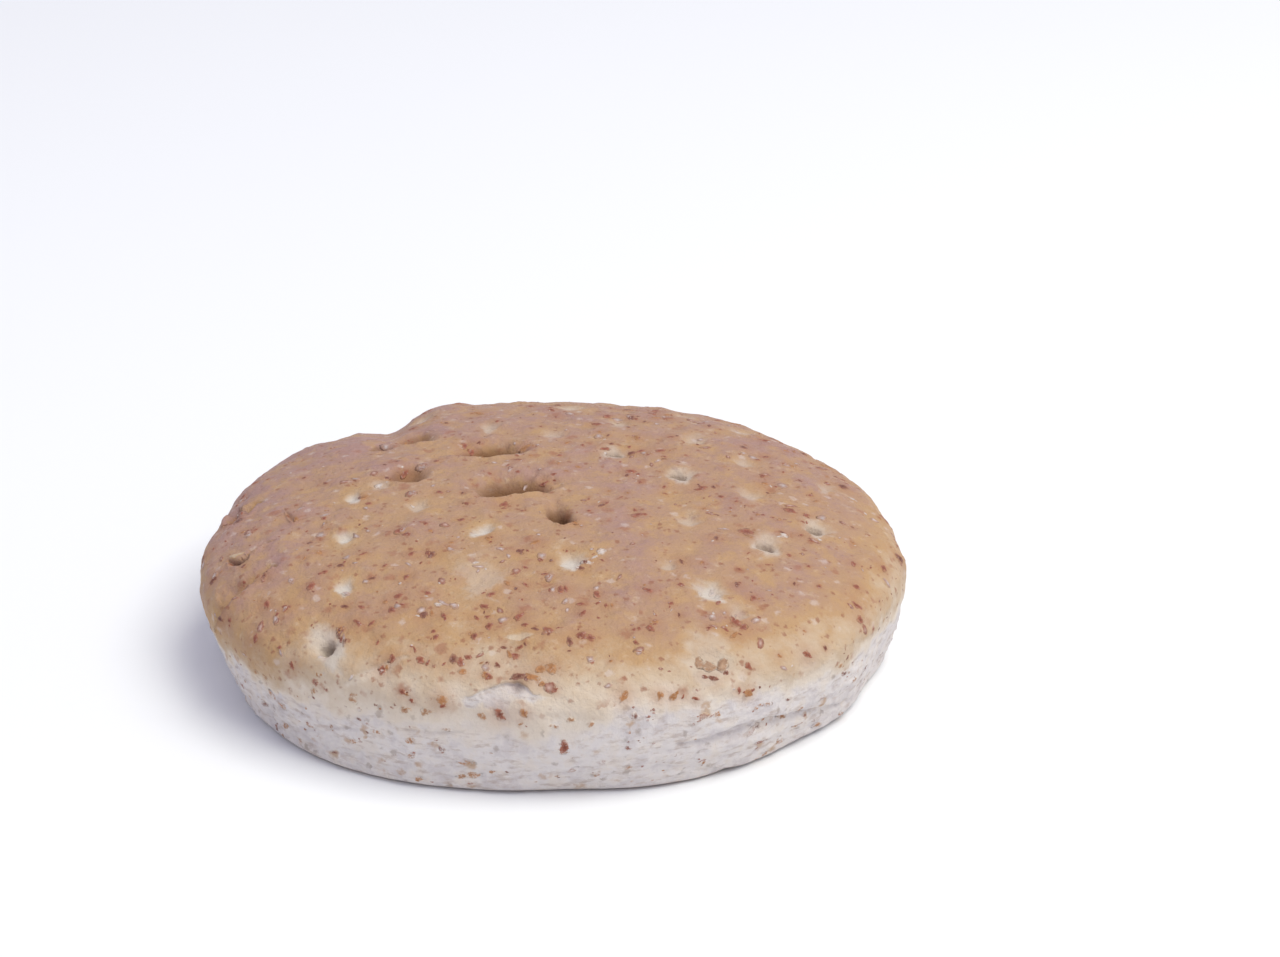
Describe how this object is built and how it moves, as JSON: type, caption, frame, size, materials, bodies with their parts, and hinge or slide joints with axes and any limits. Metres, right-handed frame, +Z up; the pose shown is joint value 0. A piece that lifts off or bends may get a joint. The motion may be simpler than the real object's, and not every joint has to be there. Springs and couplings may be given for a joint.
{
  "type": "hallulla bread",
  "caption": "Round flat wholemeal bread with a browned, docked top, a pale wall and a flat underside, baked in one piece to be split and filled.",
  "frame": {"origin": "middle of the bread's box in plan, on the surface that it rests on", "axes": "+Z up through the dome, +Y away from the side that faces the viewer, +X to the viewer's right"},
  "size_m": [0.1106, 0.1076, 0.0254],
  "materials": {
    "crust": "matte baked crust with bran flakes, browned on top and pale on the wall"
  },
  "bodies": {
    "root": {"bread": "crust"}
  },
  "joints": []
}
